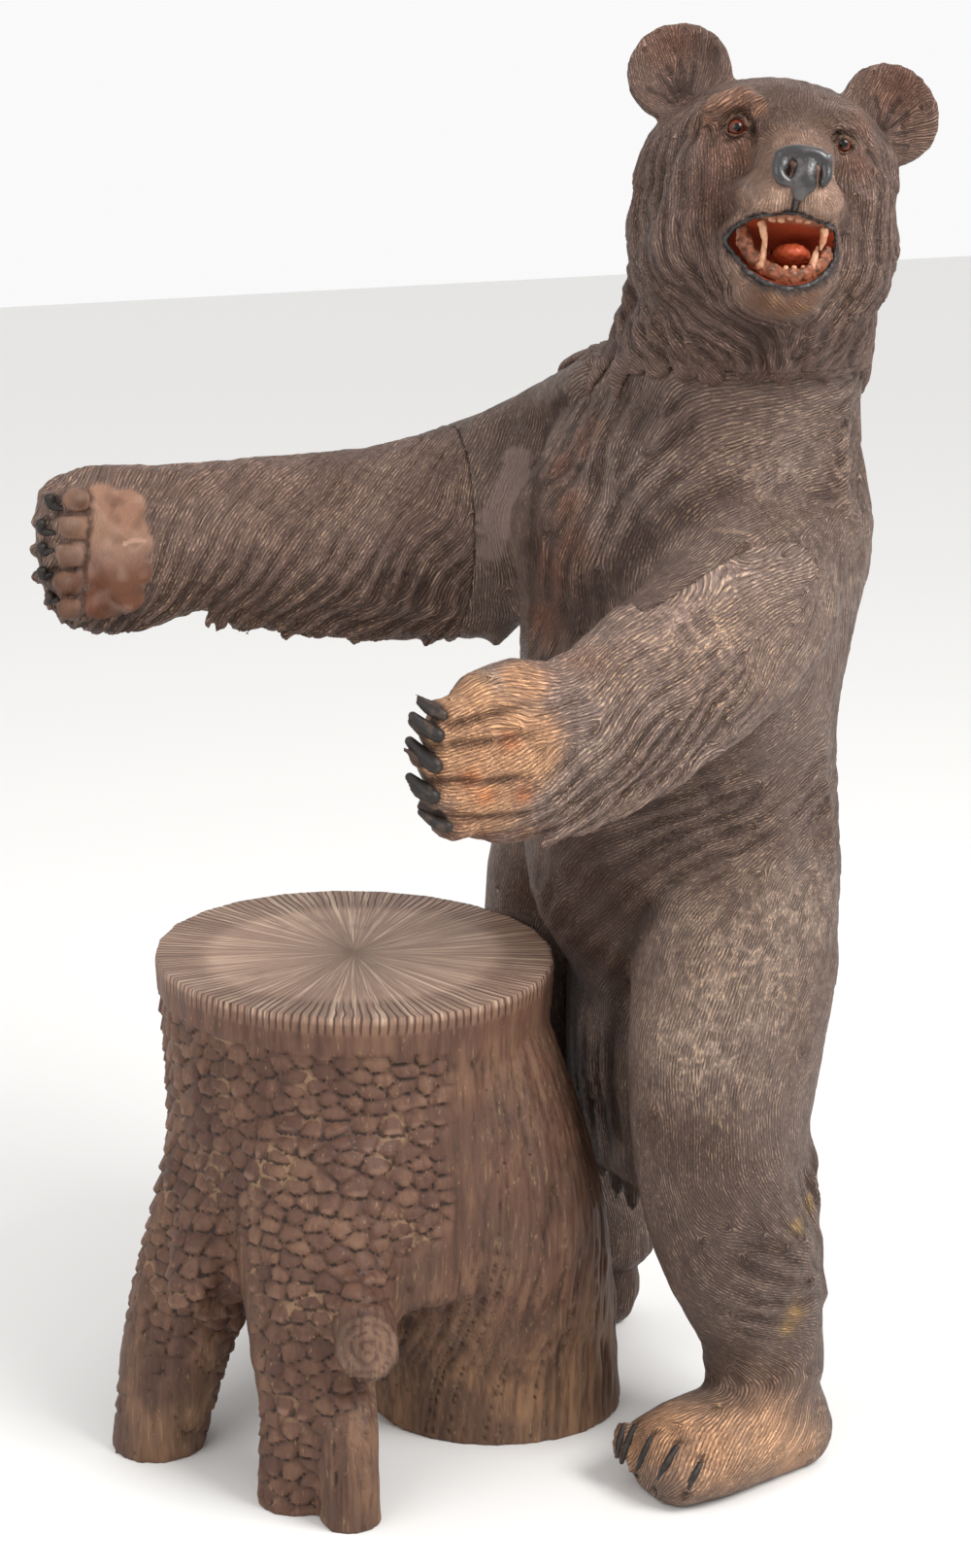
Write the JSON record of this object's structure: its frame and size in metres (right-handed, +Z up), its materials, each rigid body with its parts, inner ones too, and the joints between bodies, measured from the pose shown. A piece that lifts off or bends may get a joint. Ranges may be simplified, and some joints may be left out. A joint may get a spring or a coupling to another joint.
{
  "type": "carved wooden bear",
  "caption": "Life-like carved wooden bear standing behind a tree-stump seat, arms held out round the sitter, mouth open, on a floor-standing root base.",
  "frame": {"origin": "on the floor, on the sole of the stump's broad root, near the middle of the whole footprint", "axes": "+Z up, the bear's trunk faces -Y, its left side is +X"},
  "size_m": [0.6796, 0.8263, 1.522],
  "materials": {
    "body_wood": "dark brown stain over carved hair, worn to ochre on the ridges, satin",
    "head_wood": "dark brown stain, lighter face, painted nose, lips, mouth and teeth, satin",
    "arm_wood": "dark brown stain, paws worn to orange tan, black claws, satin",
    "stump_wood": "red-brown stain over carved bark scales, greyed radial grooves on the seat",
    "eye_glass": "dark brown polished glass"
  },
  "bodies": {
    "root": {"bear_body": "body_wood", "bear_head": "head_wood", "right_arm": "arm_wood", "left_arm": "arm_wood", "stump_seat": "stump_wood", "eye_left": "eye_glass", "eye_right": "eye_glass"}
  },
  "joints": []
}
